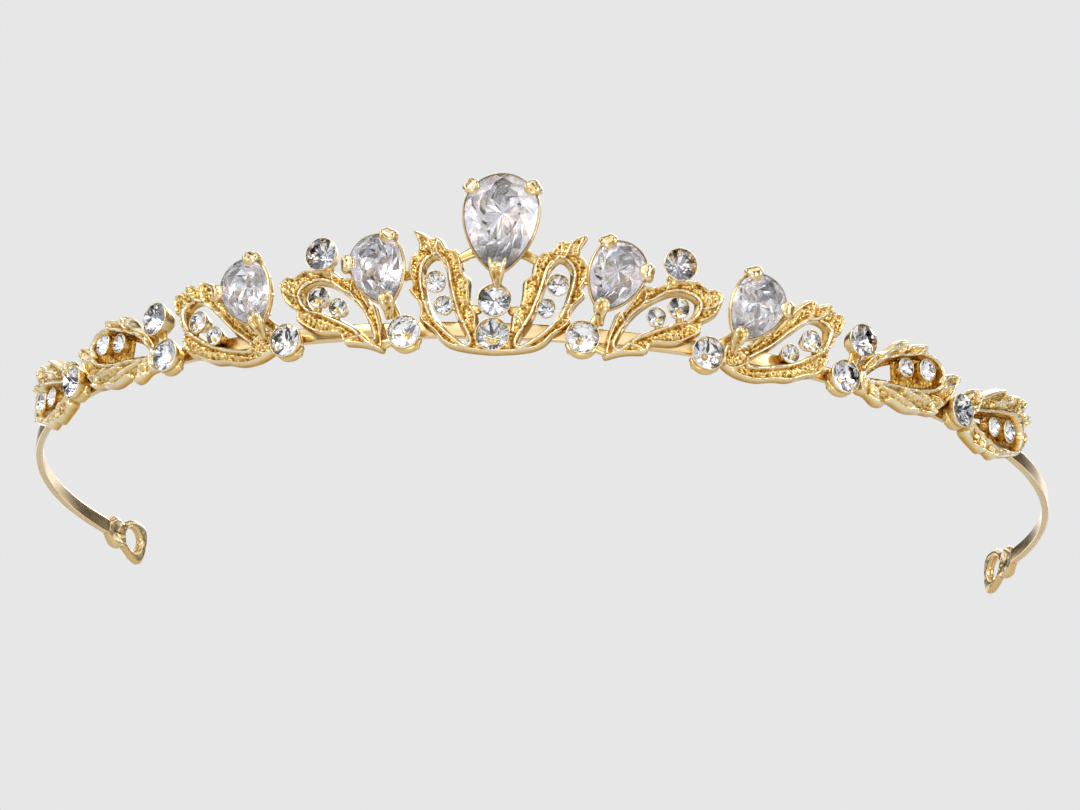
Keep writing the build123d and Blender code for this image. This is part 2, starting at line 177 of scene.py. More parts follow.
# The outer two loops are closed by a thin web, except for these openings at their inner ends.
WEB_OPENINGS = {
    2: [
        [(51.8, 0.8), (54.1, 2.7), (56.3, 3.7)],
        [(56.6, 1.4)],
        [(54.1, 1.1), (51.8, 0.8)],
    ],
    3: [
        [(72.5, 0.4), (74.4, 1.1), (75.8, 1.4)],
        [(76.0, -0.8)],
        [(74.0, -0.6), (72.5, 0.4)],
    ],
}

# Ribs of the outer two leaves that sweep along the loop, besides the ribs that rise from each tip.
SWEPT_RIBS = {
    2: [
        [(53.6, -0.1), (57.0, -1.0), (60.2, -1.9)],
        [(58.3, 0.3), (61.8, -0.2), (64.8, 0.3)],
        [(53.6, 4.2), (56.0, 5.4), (58.0, 6.6)],
    ],
    3: [
        [(72.6, 3.1), (75.8, 4.7), (79.2, 6.4)],
        [(77.4, 4.0), (80.6, 5.1), (83.4, 6.8)],
        [(83.8, 4.3), (85.6, 4.6), (87.2, 5.0)],
        [(76.2, -2.1), (79.0, -2.3), (82.0, -2.0)],
    ],
}

# Bars of the castings: the two ends (s, h) and the width. Most reach under a pear setting and carry it.
CENTRE_BARS = [
    ((1.6, 2.4), (3.4, 2.2), 1.3),
    ((5.4, 9.2), (2.4, 10.8), 1.3),
    ((6.3, 2.7), (4.6, 2.9), 1.2),
    ((10.6, 7.1), (12.6, 7.1), 1.2),
]
BARS = [
    [
        ((12.3, -1.6), (15.0, -2.5), 1.5),
        ((12.5, 0.6), (14.5, 4.6), 1.4),
        ((19.4, 6.1), (17.4, 8.2), 1.4),
        ((23.8, 4.6), (24.1, 2.5), 1.2),
        ((21.0, 3.0), (21.4, 1.2), 1.2),
    ],
    [
        ((28.9, -1.7), (30.9, -1.4), 1.8),
        ((29.5, 0.4), (32.9, 3.2), 1.4),
        ((39.2, 5.8), (36.4, 6.8), 1.4),
        ((42.7, 3.4), (43.5, 1.8), 1.2),
        ((39.6, 1.1), (39.9, -0.2), 1.2),
    ],
    [
        ((49.0, -1.0), (51.0, -0.9), 1.6),
        ((50.0, 4.1), (49.0, 1.0), 1.9),
        ((51.8, 4.2), (53.4, 3.6), 1.0),
    ],
    [
        ((70.6, -1.0), (72.5, -2.4), 1.6),
        ((70.6, 1.2), (72.3, 2.6), 1.6),
    ],
]
# A small lug below each base cup: its ends from the cup's centre, and its width.
LUG_ENDS = ((0.0, 0.0), (-1.8, -2.0))
LUG_WIDTH = 0.9


# ---------------------------------------------------------------- places
def world(s, h, n):
    """(s, h, n) in millimetres to a point of the frame in metres."""
    angle = s / BAND_R
    radius = BAND_R + n
    return Vector((radius * math.sin(angle), AXIS_Y - radius * math.cos(angle), REST + h)) * MM


def wrap(points):
    """The same for an array of (s, h, n)."""
    points = np.asarray(points, float)
    angle = points[:, 0] / BAND_R
    radius = BAND_R + points[:, 2]
    return np.stack([radius * np.sin(angle), AXIS_Y - radius * np.cos(angle), REST + points[:, 1]], 1) * MM


def station(s, h, n, turn=0.0):
    """The frame tangent to the band at s: x along the band, y up, z outward, turned about z by degrees."""
    angle = s / BAND_R
    along = Vector((math.cos(angle), math.sin(angle), 0))
    out = Vector((math.sin(angle), -math.cos(angle), 0))
    up = Vector((0, 0, 1))
    c, w = math.cos(math.radians(turn)), math.sin(math.radians(turn))
    x, y = along * c + up * w, up * c - along * w
    m = Matrix((x, y, out)).transposed().to_4x4()
    m.translation = world(s, h, n)
    return m


# ---------------------------------------------------------------- meshes
NO_TINT = (-1.0, -1.0, -1.0)
ROW_SHARE = 0.866  # height of a row of even triangles over their side
EDGE_GAP = 0.06  # how far a plate's inner points keep from its edges


class Shell:
    """Points in metres and faces. Each point has a relief value for painted shade and highlight: 0 in a
    recess, 1 on a crest.

    Some faces have a colour of their own, a stone facet's painted reflection, which is kept instead of it.
    """

    def __init__(self):
        self.points, self.faces, self.relief, self.slots, self.painted_reflections = [], [], [], [], []

    def add(self, points, faces, relief=0.7, slot=0, painted_reflections=None):
        start = len(self.points)
        self.points.extend(tuple(p) for p in points)
        self.faces.extend(tuple(start + i for i in face) for face in faces)
        values = relief if hasattr(relief, "__len__") else [relief] * len(points)
        self.relief.extend(float(v) for v in values)
        self.slots.extend(slot if hasattr(slot, "__len__") else [slot] * len(faces))
        self.painted_reflections.extend(painted_reflections or [NO_TINT] * len(faces))

    def mirrored(self):
        twin = Shell()
        twin.points = [(-x, y, z) for x, y, z in self.points]
        twin.faces = [tuple(reversed(face)) for face in self.faces]
        twin.relief, twin.slots, twin.painted_reflections = self.relief, self.slots, self.painted_reflections
        return twin

    def build(self, name, materials, slot, smooth=True):
        """The piece, which stands for the node of its name."""
        mesh = bpy.data.meshes.new(name)
        mesh.from_pydata(self.points, [], self.faces)
        mesh.update()
        for material in materials:
            mesh.materials.append(material)
        mesh.polygons.foreach_set("material_index", np.array(self.slots, np.int32))
        mesh.polygons.foreach_set("use_smooth", np.full(len(self.faces), smooth))
        corner = np.zeros(len(mesh.loops), np.int32)
        mesh.loops.foreach_get("vertex_index", corner)
        sizes = np.array([len(face) for face in self.faces])
        painted_reflections = np.repeat(np.array(self.painted_reflections, float), sizes, 0)
        values = np.repeat(np.array(self.relief)[corner][:, None], 3, 1)
        colours = np.ones((len(corner), 4), np.float32)
        colours[:, :3] = np.where(painted_reflections >= 0, painted_reflections, values)
        layer = mesh.attributes.new("relief", "FLOAT_COLOR", "CORNER")
        layer.data.foreach_set("color", colours.ravel())
        piece = bpy.data.objects.new(name, mesh)
        bpy.context.scene.collection.objects.link(piece)
        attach(piece, "root")
        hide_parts(name)


def smooth_line(points, step=0.25):
    """Points along a centripetal curve through the given ones."""
    pts = [np.asarray(p, float) for p in points]
    if len(pts) == 2:
        count = max(1, int(np.linalg.norm(pts[1] - pts[0]) / step))
        return [pts[0] + (pts[1] - pts[0]) * i / count for i in range(count + 1)]
    closed = np.allclose(pts[0], pts[-1])
    first = pts[-2] if closed else 2 * pts[0] - pts[1]
    last = pts[1] if closed else 2 * pts[-1] - pts[-2]
    pts = [first] + pts + [last]
    out = [pts[1]]
    for p0, p1, p2, p3 in zip(pts, pts[1:], pts[2:], pts[3:]):
        t1 = max(np.linalg.norm(p1 - p0), 1e-6) ** 0.5
        t2 = t1 + max(np.linalg.norm(p2 - p1), 1e-6) ** 0.5
        t3 = t2 + max(np.linalg.norm(p3 - p2), 1e-6) ** 0.5
        count = max(1, int(np.linalg.norm(p2 - p1) / step))
        for i in range(1, count + 1):
            t = t1 + (t2 - t1) * i / count
            a1 = (t1 - t) / t1 * p0 + t / t1 * p1
            a2 = (t2 - t) / (t2 - t1) * p1 + (t - t1) / (t2 - t1) * p2
            a3 = (t3 - t) / (t3 - t2) * p2 + (t - t2) / (t3 - t2) * p3
            b1 = (t2 - t) / t2 * a1 + t / t2 * a2
            b2 = (t3 - t) / (t3 - t1) * a2 + (t - t1) / (t3 - t1) * a3
            out.append((t2 - t) / (t2 - t1) * b1 + (t - t1) / (t2 - t1) * b2)
    return out


def outline(spans):
    """A closed chain of spans as a polygon."""
    line = []
    here = np.asarray(spans[0][0], float)
    start = here
    for span in spans:
        points = [np.asarray(p, float) for p in span]
        if not np.allclose(points[0], here):
            points.insert(0, here)
        line.extend(smooth_line(points)[:-1])
        here = points[-1]
    if not np.allclose(here, start):
        line.extend(smooth_line([here, start])[:-1])
    return np.array(line)


def turning(line):
    """1 for a closed line that runs anticlockwise, else -1."""
    x, y = line[:, 0], line[:, 1]
    return 1.0 if np.sum(x * np.roll(y, -1) - np.roll(x, -1) * y) > 0 else -1.0


def soften(line, passes=6, swell=0.15):
    """A closed outline with its tips and notches rounded and a little swollen, as in a casting."""
    for _ in range(passes):
        line = (np.roll(line, 1, 0) + 2 * line + np.roll(line, -1, 0)) / 4
    along = np.roll(line, -1, 0) - np.roll(line, 1, 0)
    along /= np.linalg.norm(along, axis=1)[:, None] + 1e-9
    return line + turning(line) * swell * np.column_stack([along[:, 1], -along[:, 0]])


def distance(points, line, closed=True):
    """Distance from each point to a polyline."""
    a = line if closed else line[:-1]
    b = np.roll(line, -1, 0) if closed else line[1:]
    ab = b - a
    length = np.maximum((ab * ab).sum(1), 1e-12)
    best = np.full(len(points), 1e9)
    for i in range(0, len(points), 2000):
        part = points[i : i + 2000, None, :]
        t = np.clip(((part - a) * ab).sum(2) / length, 0, 1)
        gap = part - (a + ab * t[:, :, None])
        best[i : i + 2000] = np.sqrt((gap * gap).sum(2)).min(1)
    return best


def inside(points, line):
    """Which points lie within a closed polygon."""
    x, y = points[:, 0], points[:, 1]
    found = np.zeros(len(points), bool)
    for (x0, y0), (x1, y1) in zip(line, np.roll(line, -1, 0)):
        if y0 == y1:
            continue
        found ^= ((y0 > y) != (y1 > y)) & (x < (x1 - x0) * (y - y0) / (y1 - y0) + x0)
    return found


def within(points, border, holes):
    """Which points lie inside the border and outside every hole."""
    keep = inside(points, border)
    for hole in holes:
        keep &= ~inside(points, hole)
    return keep


def nearest(points, lines):
    """Distance from each point to the nearest of several closed lines."""
    return np.min([distance(points, line) for line in lines], 0)


def triangles(border, holes, spacing):
    """A triangle mesh inside the border and outside the holes: its points and its faces."""
    lines = [border] + holes
    points, edges = [], []
    for line in lines:
        loop = list(range(len(points), len(points) + len(line)))
        edges.extend(zip(loop, loop[1:] + loop[:1]))
        points.extend(line)
    low, high = border.min(0), border.max(0)
    rows = np.arange(low[1], high[1], spacing * ROW_SHARE)
    grid = [
        (x + (spacing / 2 if k % 2 else 0), y)
        for k, y in enumerate(rows)
        for x in np.arange(low[0], high[0], spacing)
    ]
    grid = np.array(grid)
    grid = grid[within(grid, border, holes)]
    grid = grid[nearest(grid, lines) > EDGE_GAP]
    points = np.concatenate([np.array(points), grid])
    made = delaunay_2d_cdt([Vector(p) for p in points], edges, [], 0, 1e-5)
    flat = np.array([tuple(v) for v in made[0]])
    faces = np.array([f for f in made[2] if len(f) == 3])
    faces = faces[within(flat[faces].mean(1), border, holes)]
    a, b, c = flat[faces[:, 0]], flat[faces[:, 1]], flat[faces[:, 2]]
    turned = (b[:, 0] - a[:, 0]) * (c[:, 1] - a[:, 1]) - (b[:, 1] - a[:, 1]) * (c[:, 0] - a[:, 0]) < 0
    faces[turned] = faces[turned][:, ::-1]
    return flat, faces


def slab(faces, count):
    """The faces of a closed plate. Its back has the front's points again, count further on."""
    used = {pair for a, b, c in faces for pair in ((a, b), (b, c), (c, a))}
    made = [tuple(f) for f in faces] + [(c + count, b + count, a + count) for a, b, c in faces]
    return made + [(a, a + count, b + count, b) for a, b in used if (b, a) not in used]


def skin(rows, sides, turned=False, ring=False):
    """The faces round a stack of rows of points, its ends capped. A ring's last row meets its first."""
    quads = []
    for i in range(rows if ring else rows - 1):
        n = (i + 1) % rows
        for k in range(sides):
            j = (k + 1) % sides
            quads.append((i * sides + k, i * sides + j, n * sides + j, n * sides + k))
    caps = [] if ring else [tuple(range(sides))[::-1], tuple((rows - 1) * sides + k for k in range(sides))]
    if turned:
        quads = [(a, d, c, b) for a, b, c, d in quads]
        caps = [cap[::-1] for cap in caps]
    return quads + caps


def rounding(near, reach):
    """How far a rounded edge has risen: 0 at the edge, 1 past its reach."""
    return np.sqrt(np.clip(1 - (1 - np.minimum(near / reach, 1)) ** 2, 0, 1))


def unevenness(points, often, seed, height):
    """A smooth uneven height at each point."""
    return np.array([noise.noise((x * often, y * often, seed)) for x, y in points]) * height


# ---------------------------------------------------------------- relief castings
FIELD_N = 1.75  # a leaf's surface between its rims
EDGE_N = 0.88  # where its rounded edge meets the side
ROUNDING = 0.6
MESH_STEP = 0.13  # spacing of the relief's points
GRAIN_STEP = 0.4  # spacing of the cast grains
GRAIN_DRIFT = 0.32
GRAIN_SIZE = (0.13, 0.24)
GRAIN_HEIGHTS = (1.0, 0.7, -1.3, -0.9, 0.4)


def dots(border, seed):
    """Scattered grain centres over a leaf, each with a size and a height, and a tree to find them by."""
    draw = random.Random(seed)
    low, high = border.min(0), border.max(0)
    made = []
    rows = int((high[1] - low[1]) / GRAIN_STEP) + 1
    columns = int((high[0] - low[0]) / GRAIN_STEP) + 1
    for j in range(rows):
        for i in range(columns):
            x = low[0] + (i + 0.5 * (j % 2) + draw.uniform(-GRAIN_DRIFT, GRAIN_DRIFT)) * GRAIN_STEP
            y = low[1] + (j + draw.uniform(-GRAIN_DRIFT, GRAIN_DRIFT)) * GRAIN_STEP
            made.append((x, y, draw.uniform(*GRAIN_SIZE), draw.choice(GRAIN_HEIGHTS)))
    tree = kdtree.KDTree(len(made))
    for k, (x, y, _, _) in enumerate(made):
        tree.insert((x, y, 0), k)
    tree.balance()
    return tree, made


def grains(points, border, seed):
    """Height of the granulated surface at each point, as a share of a full grain."""
    tree, made = dots(border, seed)
    out = np.zeros(len(points))
    for k, (x, y) in enumerate(points):
        _, index, gap = tree.find((x, y, 0))
        size, sign = made[index][2], made[index][3]
        if gap < size:
            out[k] = sign * (1 - (gap / size) ** 2)
    return out


def ridge(gap, width):
    """1 on a line, falling off smoothly on both sides of it."""
    return np.exp(-((gap / width) ** 2))


def raised(gap, low, high, fall):
    """1 between two distances from an edge, falling off smoothly outside them."""
    return ridge(np.maximum(gap - high, 0) + np.maximum(low - gap, 0), fall)


def lined(points, lines, width):
    """1 on the nearest of several open lines, falling off smoothly on both sides of it."""
    out = np.zeros(len(points))
    for line in lines:
        out = np.maximum(out, ridge(distance(points, line, closed=False), width))
    return out


RIB_STEP = 3  # how many outline points before and after a tip its bend is measured over
RIB_BEND = 0.4  # the least bend that starts a rib or a groove
RIB_LEAST = 0.7  # the least distance from a tip to the loop for one
RIB_PULL = 0.28  # how far a rib aims from its tip towards the foot
RIB_BOW = 0.12
RIB_REACH = 0.85
GROOVE_REACH = 0.5


def veins(border, holes, foot):
    """Lines from the leaf's tips and notches back towards its foot: (ridge lines, groove lines)."""
    before, after = border - np.roll(border, RIB_STEP, 0), np.roll(border, -RIB_STEP, 0) - border
    size = np.linalg.norm(before, axis=1) * np.linalg.norm(after, axis=1) + 1e-9
    bend = turning(border) * (before[:, 0] * after[:, 1] - before[:, 1] * after[:, 0]) / size
    rim = np.concatenate(holes)
    ups, downs = [], []
    for k, tip in enumerate(border):
        around = np.abs(np.roll(bend, RIB_STEP + 1 - k)[: 2 * RIB_STEP + 3])
        if abs(bend[k]) < RIB_BEND or abs(bend[k]) < around.max():
            continue
        pull = tip * (1 - RIB_PULL) + foot * RIB_PULL
        span = rim[int(np.argmin(((rim - pull) ** 2).sum(1)))] - tip
        if np.linalg.norm(span) < RIB_LEAST:
            continue
        side = np.array([-span[1], span[0]])
        side *= RIB_BOW if (foot - tip) @ side < 0 else -RIB_BOW
        reach = RIB_REACH if bend[k] > 0 else GROOVE_REACH
        line = np.array(smooth_line([tip, tip + span * reach * 0.5 + side, tip + span * reach], 0.2))
        (ups if bend[k] > 0 else downs).append(line)
    return ups, downs


def flutes(points, lines):
    """Rounded lobes about the rib lines: 1 along a rib, falling to -1 in the crease halfway to the next."""
    if len(lines) < 2:
        return np.zeros(len(points))
    gaps = np.sort([distance(points, line, closed=False) for line in lines], 0)
    share = gaps[0] / (gaps[0] + gaps[1] + 1e-9)
    return 1 - 8 * share**2


# How a leaf is worked: a rib's height and half width, the outer edge of the edge rim, and the heights of the
# grains and the lobes.
FINE_WORK = (0.26, 0.2, 0.33, 0.13, 0.0)
BOLD_WORK = (0.2, 0.3, 0.42, 0.06, 0.3)
# Distances from the loop's edge or the leaf's edge, with how softly each feature falls off, and its height.
LOOP_RIM, LOOP_RIM_FALL, LOOP_RIM_HIGH = (0.4, 0.62), 0.2, 0.45
EDGE_RIM, EDGE_RIM_FALL, EDGE_RIM_HIGH = 0.33, 0.22, 0.34
LOOP_LINE, LOOP_LINE_WIDE, LOOP_LINE_DEEP = 0.98, 0.1, 0.16
CREASE, CREASE_WIDE, CREASE_DEEP = 0.36, 0.09, 0.1
GROOVE_WIDE, GROOVE_DEEP = 0.12, 0.3
SWELL_REACH, SWELL_HIGH = 1.4, 0.25
BACK_REACH, BACK_EASE = 0.35, 0.2


def relief(shell, border, holes, foot, seed, work=FINE_WORK, swept=()):
    """A leaf plate: smooth raised rims, ribbed and granulated lobes, rounded edges and a plain back."""
    rib_high, rib_wide, rim_wide, grit, lobe = work
    ups, downs = veins(border, holes, np.asarray(foot, float))
    ups += [np.array(smooth_line(line)) for line in swept]
    border = soften(border)
    flat, faces = triangles(border, holes, MESH_STEP)
    to_border, to_hole = distance(flat, border), nearest(flat, holes)
    near = np.minimum(to_border, to_hole)
    round_off = rounding(near, ROUNDING)
    rim_hole = raised(to_hole, *LOOP_RIM, LOOP_RIM_FALL)
    rim_edge = raised(to_border, EDGE_RIM, rim_wide, EDGE_RIM_FALL)
    line_hole = ridge(to_hole - LOOP_LINE, LOOP_LINE_WIDE)
    crease = ridge(to_border - rim_wide - CREASE, CREASE_WIDE)
    vein, groove = lined(flat, ups, rib_wide), lined(flat, downs, GROOVE_WIDE)
    free = np.clip((near - 0.4) / 0.2, 0, 1) * (1 - rim_hole) * (1 - rim_edge) * (1 - vein) * (1 - groove)
    grain = grains(flat, border, seed) * free
    swell = np.clip(near / SWELL_REACH, 0, 1) * SWELL_HIGH
    wander, fine = unevenness(flat, 0.9, seed, 0.10), unevenness(flat, 4.0, seed + 7, 0.035)

    top = EDGE_N + (FIELD_N - EDGE_N) * round_off
    top += LOOP_RIM_HIGH * rim_hole + EDGE_RIM_HIGH * rim_edge * (1 - groove)
    top += (rib_high * vein - GROOVE_DEEP * groove + swell + wander + fine) * round_off
    top += grit * grain - (LOOP_LINE_DEEP * line_hole + CREASE_DEEP * crease) * free
    # The relief value: painted highlights on the crests, and painted shade in the grooves, creases, pits and
    # the folds between lobes.
    value = 0.53 + 0.4 * rim_hole + 0.36 * rim_edge + 0.3 * vein - 0.4 * groove
    value += 0.25 * np.maximum(grain, 0) + 0.5 * np.minimum(grain, 0)
    value -= (0.5 * line_hole + 0.35 * crease) * free
    if lobe:
        fluted = flutes(flat, ups) * np.clip(to_hole - 0.6, 0, 0.6) / 0.6 * round_off
        top += lobe * fluted
        value += 0.12 + 0.3 * np.minimum(fluted, 0)
    # Painted shade: darker close to the plate's edges.
    value = np.clip(value, 0, 1) * (0.35 + 0.65 * np.clip(near / 0.2, 0, 1))
    eased = BACK_EASE * (1 - np.minimum(near / BACK_REACH, 1)) ** 2
    front = wrap(np.column_stack([flat, top]))
    back = wrap(np.column_stack([flat, PLATE_BACK + eased + 0.5 * np.abs(wander)]))
    # Outward is away from the band's axis, and s grows to the right, so a front face keeps its turn.
    values = np.concatenate([value, np.full(len(flat), 0.55)])
    shell.add(np.concatenate([front, back]), slab(faces, len(flat)), values)


CUP_TURNS = 40
CUP_ROUGH = 0.03
# Painted shade at the cup's foot and inside it under the stone, and a painted highlight on its rim.
CUP_PAINTED_LIGHT = (0.3, 0.35, 0.4, 0.5, 0.65, 0.85, 0.95, 1.0, 0.9, 0.5, 0.2, 0.1)


def cup(shell, s, h, radius, girdle, seed=0):
    """A cast cup, turned about the outward normal, that widens to a thin rim round the stone's girdle."""
    profile = [
        (radius * 0.7, PLATE_BACK), (radius * 0.78, 0.9), (radius * 0.84, 1.3), (radius * 0.94, girdle - 0.9),
        (radius + 0.08, girdle - 0.35), (radius + 0.15, girdle), (radius + 0.15, girdle + 0.12),
        (radius + 0.1, girdle + 0.2), (radius + 0.04, girdle + 0.19), (radius + 0.02, girdle + 0.02),
        (radius * 0.62, girdle - 0.62), (radius * 0.12, girdle - 0.78 * radius),
    ]
    place = station(s, h, 0)
    points = []
    for reach, n in profile:
        for i in range(CUP_TURNS):
            angle = 2 * math.pi * i / CUP_TURNS
            x, y = math.cos(angle), math.sin(angle)
            r = reach * (1 + CUP_ROUGH * noise.noise((3 * x, 3 * y, seed + n)))
            points.append(place @ Vector((r * x * MM, r * y * MM, n * MM)))
    values = [value for value in CUP_PAINTED_LIGHT for _ in range(CUP_TURNS)]
    shell.add(points, skin(len(profile), CUP_TURNS), values)


def placed(place, points):
    """Points in millimetres of a frame, in metres."""
    return [place @ (Vector(p) * MM) for p in points]


BAR_STEP, PITTED_STEP = 0.2, 0.12
BAR_SIDES, CLAW_SIDES, RAIL_SIDES = 14, 26, 10
BAR_ROUGH = 0.06
PIT_DEEP = 0.28


def limb(
    shell, path, widths, depths, sides=BAR_SIDES, crease=0.0, value=0.75, seed=0,
    place=None, across=None, pits=0,
):
    """A bar along a path of (s, h, n), oval in section, with round ends.

    A crease hollows its front. Pits are small cast hollows there. With a place, the path is in that frame.
    """
    step = PITTED_STEP if pits else BAR_STEP
    line = smooth_line(path, step)
    count = len(line)
    along = np.linspace(0, 1, count)
    stops = np.linspace(0, 1, len(widths))
    w = np.interp(along, stops, widths)
    d = np.interp(along, stops, depths)
    draw = random.Random(seed)
    spans = ((0.35, 0.95), (0.25, 0.75), (0.12, 0.26))  # of a pit's place along, place round, and size
    hollows = [[draw.uniform(low, high) for low, high in spans] for _ in range(pits)]
    length = step * (count - 1)
    points, values = [], []
    for i, p in enumerate(line):
        t = line[min(i + 1, count - 1)] - line[max(i - 1, 0)]
        t = t / (np.linalg.norm(t) + 1e-9)
        side = np.cross(t, (0.0, 0.0, 1.0)) if across is None else np.asarray(across, float)
        if np.linalg.norm(side) < 0.15:
            side = np.array([1.0, 0.0, 0.0])
        side = side / np.linalg.norm(side)
        up = np.cross(side, t)
        cap = 1.0
        reach = min(i, count - 1 - i) * step
        if reach < w[i]:
            cap = math.sqrt(max(0.0, 1 - (1 - reach / w[i]) ** 2)) * 0.94 + 0.06
        for k in range(sides):
            angle = 2 * math.pi * k / sides
            c, q = math.cos(angle), math.sin(angle)
            hollow = 1 - crease * max(0.0, q) * (1 - abs(c)) ** 2
            sunk = 0.0
            for at, turn, size in hollows:
                gap = math.hypot((along[i] - at) * length, (turn - angle / math.pi) * 2.6 * w[i])
                sunk += math.exp(-((gap / size) ** 2)) if q > 0 else 0.0
            sunk = min(sunk, 1.0)
            rough = BAR_ROUGH * noise.noise((p[0] * 1.6 + c, p[1] * 1.6 + q, p[2] + seed))
            wobble = 1 + rough - PIT_DEEP * sunk
            points.append(p + (side * c * w[i] * wobble + up * q * d[i] * hollow * wobble) * cap)
            # Painted shade: darker in the crease and on the back half, much darker in the pits.
            shade = value * (0.25 + 0.75 * hollow) if q > 0 else value * 0.7
            values.append(shade * (1 - 0.9 * sunk))
    points = wrap(points) if place is None else placed(place, points)
    shell.add(points, skin(count, sides, turned=True), values)


def rail(shell, line, radius, place):
    """A closed ring of round wire along a closed line of points (x, y, z) in a frame."""
    points = []
    for i, p in enumerate(line):
        t = line[(i + 1) % len(line)] - line[i - 1]
        t /= np.linalg.norm(t)
        side = np.cross(t, (0.0, 0.0, 1.0))
        for k in range(RAIL_SIDES):
            angle = 2 * math.pi * k / RAIL_SIDES
            points.append(p + side * radius * math.cos(angle) + np.array([0, 0, radius * math.sin(angle)]))
    shell.add(placed(place, points), skin(len(line), RAIL_SIDES, turned=True, ring=True), 0.55)


LOOP_STEP = 0.14  # spacing of the end loop's points
LOOP_ROUNDING = 0.75


def pillow(shell, border, holes, place):
    """The end loop's domed plate, the same on both faces: two lobes, a hollow between them, and an eye."""
    flat, faces = triangles(border, holes, LOOP_STEP)
    rise = rounding(nearest(flat, [border] + holes), LOOP_ROUNDING)
    x, y = flat[:, 0], flat[:, 1]
    lobes = np.exp(-(((x - 0.2) / 1.5) ** 2) - ((np.abs(y + 0.15) - 1.6) / 0.5) ** 2)
    valley = np.exp(-(((x - 1.1) / 1.1) ** 2) - ((y + 0.15) / 0.42) ** 2)
    dimple = np.exp(-(((x - 2.2) / 0.4) ** 2) - ((np.abs(y) - 1.2) / 0.4) ** 2)
    ripple = unevenness(flat, 1.3, 0.0, 0.04)
    z = 0.2 + (0.45 + ripple + 0.25 * lobes - 0.26 * valley - 0.14 * dimple) * rise
    points = np.concatenate([np.column_stack([flat, z]), np.column_stack([flat, -z])])
    # Painted shade in the hollow and the dimples, and painted highlights on the domed lobes.
    value = 0.7 + 0.2 * rise + 0.1 * lobes - 0.8 * valley - 0.4 * dimple
    shell.add(placed(place, points), slab(faces, len(flat)), np.concatenate([value] * 2))


# ---------------------------------------------------------------- stones
ROUND_CROWN = 0.32
ROUND_PAVILION = 0.72
PEAR_CROWN = 0.15
PEAR_PAVILION = 0.4
TABLE = 0.56
STAR = 0.77
# Painted reflections: the brightness of the silvered facets, one of these drawn for each, in place of what a
# facet mirrors.
ROUND_REFLECTIONS = [(0.06, 0.06, 0.07), (0.34, 0.35, 0.37), (0.75, 0.76, 0.79), (0.95, 0.96, 1.0)]
ROUND_REFLECTIONS += [(1, 1, 1)] * 5
PEAR_REFLECTIONS = [
    (1.0, 1.0, 1.0), (0.97, 0.96, 1.0), (0.92, 0.93, 1.0), (1.0, 0.95, 0.92), (0.88, 0.9, 0.98),
    (0.99, 0.98, 1.0), (0.7, 0.72, 0.8), (0.96, 0.97, 1.0), (1.0, 0.93, 0.89), (1.0, 1.0, 1.0),
]


def pear_point(u, width, length):
    """A point of a pear's outline, u from 0 at the tip, round to the right, to 1."""
    half, tip = width / 2, length - width / 2
    radius = (half * half + tip * tip) / width
    sweep = math.atan2(tip, radius - half)
    arc, cap = radius * sweep, math.pi * half
    d = (u % 1.0) * (2 * arc + cap)
    if d < arc:
        a = sweep * (1 - d / arc)
        return half - radius + radius * math.cos(a), -radius * math.sin(a)
    if d < arc + cap:
        a = (d - arc) / half
        return half * math.cos(a), half * math.sin(a)
    a = sweep * (d - arc - cap) / arc
    return radius - half - radius * math.cos(a), -radius * math.sin(a)


def brilliant(shell, place, edge, mains, crown, depth, rings, painted_reflections, seed):
    """A faceted stone. Rings are the pavilion's, from the girdle down: scale, share of the depth, jitter."""
    draw = random.Random(seed)
    steps = 4 * mains

    def point(t, scale, z, jitter=0.0):
        x, y = edge(t / mains)
        return x * scale + draw.uniform(-jitter, jitter), y * scale + draw.uniform(-jitter, jitter), z

    points = [point(k / 4, 1, 0) for k in range(steps)] + [point(k / 4, 1, GIRDLE) for k in range(steps)]
    star = len(points)
    drop = (1 - STAR * math.cos(math.pi / mains)) / (1 - TABLE)
    points += [point(k + 0.5, STAR, GIRDLE + crown * drop) for k in range(mains)]
    table = len(points)
    points += [point(k, TABLE, GIRDLE + crown) for k in range(mains)]
    faces = [tuple(range(table, table + mains))]
    for k in range(mains):
        n, top = (k + 1) % mains, steps + 4 * k
        far = steps + (4 * k + 4) % steps
        faces.append((table + k, star + k, table + n))
        faces.append((table + k, star + (k - 1) % mains, top, star + k))
        faces.append((star + k, top, top + 1, top + 2))
        faces.append((star + k, top + 2, top + 3, far))
    for k in range(steps):
        n = (k + 1) % steps
        faces.append((k, n, steps + n, steps + k))
    slots = [0] * len(faces)
    above = [4 * k for k in range(mains)]
    first = len(points)
    for number, (scale, share, jitter) in enumerate(rings):
        offset = 0.5 if number % 2 == 0 else 0.0
        points += [point(k + offset, scale, -depth * share, jitter) for k in range(mains)]
    points.append((0.0, 0.0, -depth))
    culet = len(points) - 1
    for k in range(mains):
        near = 4 * k
        faces.append((first + k, near + 2, near + 1, near))
        faces.append((first + k, (near + 4) % steps, near + 3, near + 2))
    for number in range(len(rings)):
        start = first + number * mains
        back = -1 if number % 2 == 0 else 1
        for k in range(mains):
            other = start + (k + back) % mains
            below = start + mains + (k if back < 0 else (k + 1) % mains)
            if number == len(rings) - 1:
                below = culet
            faces.append((above[k], start + k, below, other))
        above = [start + k for k in range(mains)]
    slots += [1] * (len(faces) - len(slots))
    # Each pavilion facet gets a painted reflection.
    shades = [NO_TINT if s == 0 else draw.choice(painted_reflections) for s in slots]
    shell.add(placed(place, points), faces, 1.0, slots, shades)


# ---------------------------------------------------------------- materials
def node_of(tree, kind, inputs=None, **values):
    """A new node with those properties, and those values on its sockets."""
    node = tree.nodes.new(kind)
    for key, value in values.items():
        setattr(node, key, value)
    for socket, value in (inputs or {}).items():
        node.inputs[socket].default_value = value
    return node


